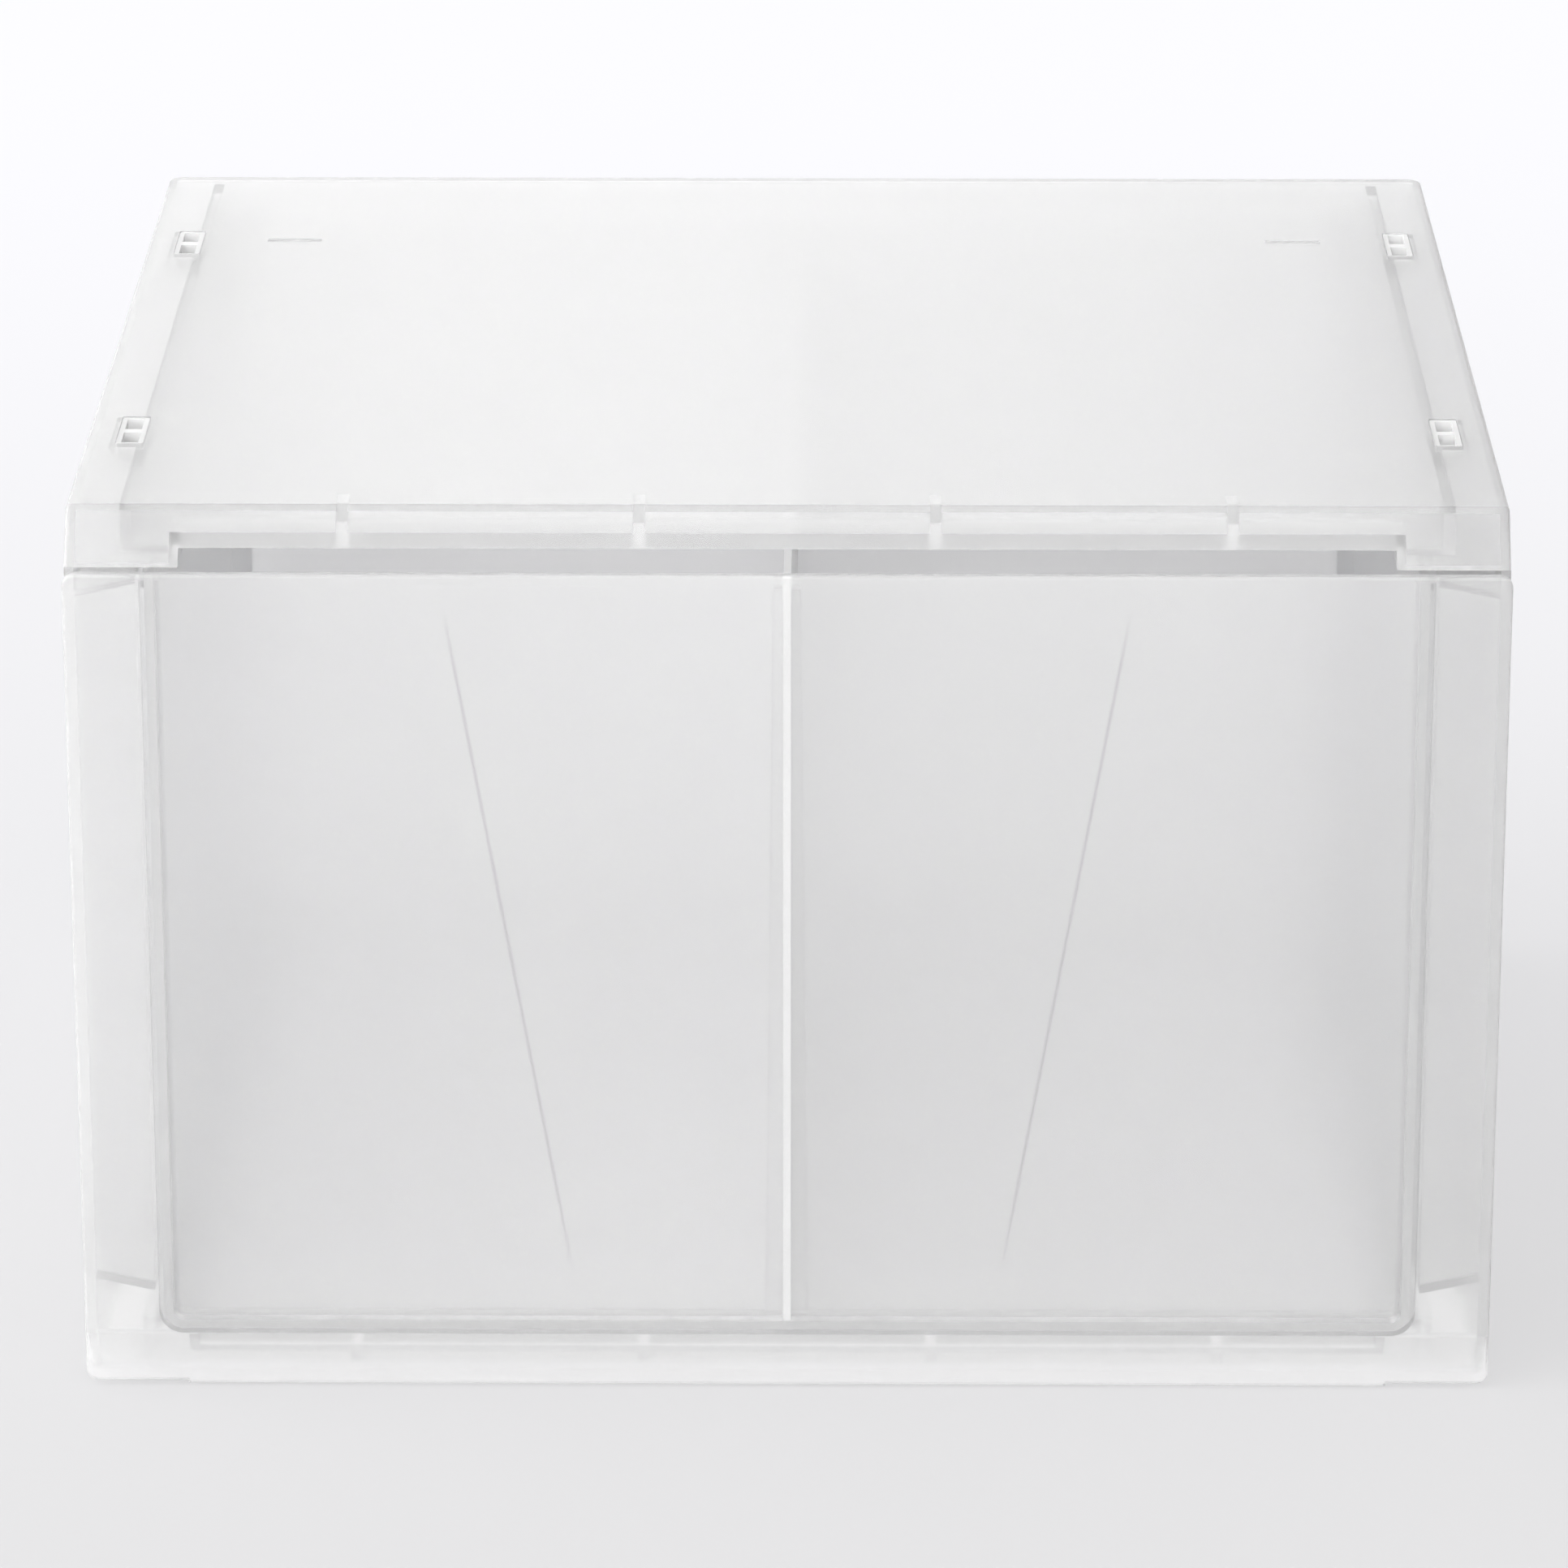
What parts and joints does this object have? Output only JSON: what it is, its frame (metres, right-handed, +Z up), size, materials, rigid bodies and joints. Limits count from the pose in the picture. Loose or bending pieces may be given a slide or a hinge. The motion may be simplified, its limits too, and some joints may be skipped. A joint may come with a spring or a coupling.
{
  "type": "shoe box",
  "caption": "Frosted plastic case with a wide pull-out drawer, a removable centre divider, a finger recess under a sloped front rail, and stacking pockets.",
  "frame": {"origin": "centre of the footprint, on the surface that the box stands on", "axes": "+X to the right seen from the drawer front, +Y from the drawer front to the back, +Z up"},
  "size_m": [0.37, 0.34, 0.24],
  "materials": {
    "case": "frosted translucent polypropylene",
    "drawer": "frosted translucent polypropylene",
    "divider": "frosted translucent polypropylene",
    "insert": "satin translucent polypropylene"
  },
  "bodies": {
    "case": {"bottom_panel": "case", "top_panel": "case", "back_panel": "case", "left_side_panel": "case", "right_side_panel": "case", "pocket_insert_front_left": "insert", "pocket_insert_front_right": "insert", "pocket_insert_rear_left": "insert", "pocket_insert_rear_right": "insert"},
    "drawer": {"drawer_tub": "drawer", "drawer_front": "drawer", "divider": "divider"}
  },
  "joints": [
    {"name": "drawer_slide", "type": "slide", "parent": "case", "child": "drawer", "axis": [0, -1, 0], "range_m": [0, 0.244]}
  ]
}
